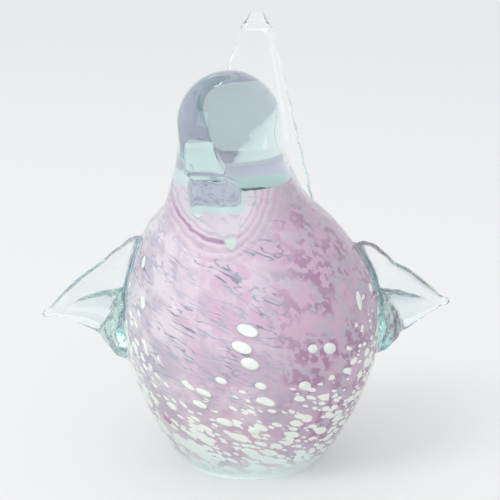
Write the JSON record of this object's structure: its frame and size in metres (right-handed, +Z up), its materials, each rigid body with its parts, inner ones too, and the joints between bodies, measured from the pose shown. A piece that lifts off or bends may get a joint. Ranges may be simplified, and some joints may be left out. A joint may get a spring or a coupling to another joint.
{
  "type": "glass bird paperweight",
  "caption": "Solid cased glass bird with a clear head, downturned beak, short wings and an upright tail, ground flat underneath.",
  "frame": {"origin": "centre of the ground flat underside that the bird stands on", "axes": "+Z up, the bird faces -Y, its left side is +X and its tail points back towards +Y"},
  "size_m": [0.1156, 0.0899, 0.1212],
  "materials": {
    "clear_glass": "fire-polished clear glass with a faint sea-green tint",
    "opal_glass": "cloudy pale lavender glass, ground flat underneath",
    "lavender_frit_glass": "mottled lavender and pink powder and frit melted into the glass",
    "white_frit_glass": "opaque white to cream glass chips with rounded edges",
    "magenta_frit_glass": "opaque dark pink glass chip with rounded edges"
  },
  "bodies": {
    "root": {"heart_gather": "opal_glass", "colour_layer": "lavender_frit_glass", "clear_casing": "clear_glass", "head": "clear_glass", "beak": "clear_glass", "right_wing": "clear_glass", "left_wing": "clear_glass", "tail": "clear_glass", "white_chip_01": "white_frit_glass", "white_chip_02": "white_frit_glass", "white_chip_03": "white_frit_glass", "white_chip_04": "white_frit_glass", "white_chip_05": "white_frit_glass", "white_chip_06": "white_frit_glass", "white_chip_07": "white_frit_glass", "white_chip_08": "white_frit_glass", "white_chip_09": "white_frit_glass", "white_chip_10": "white_frit_glass", "white_chip_11": "white_frit_glass", "white_chip_12": "white_frit_glass", "white_chip_13": "white_frit_glass", "white_chip_14": "white_frit_glass", "white_chip_15": "white_frit_glass", "white_chip_16": "white_frit_glass", "white_chip_17": "white_frit_glass", "white_chip_18": "white_frit_glass", "magenta_chip": "magenta_frit_glass"}
  },
  "joints": []
}
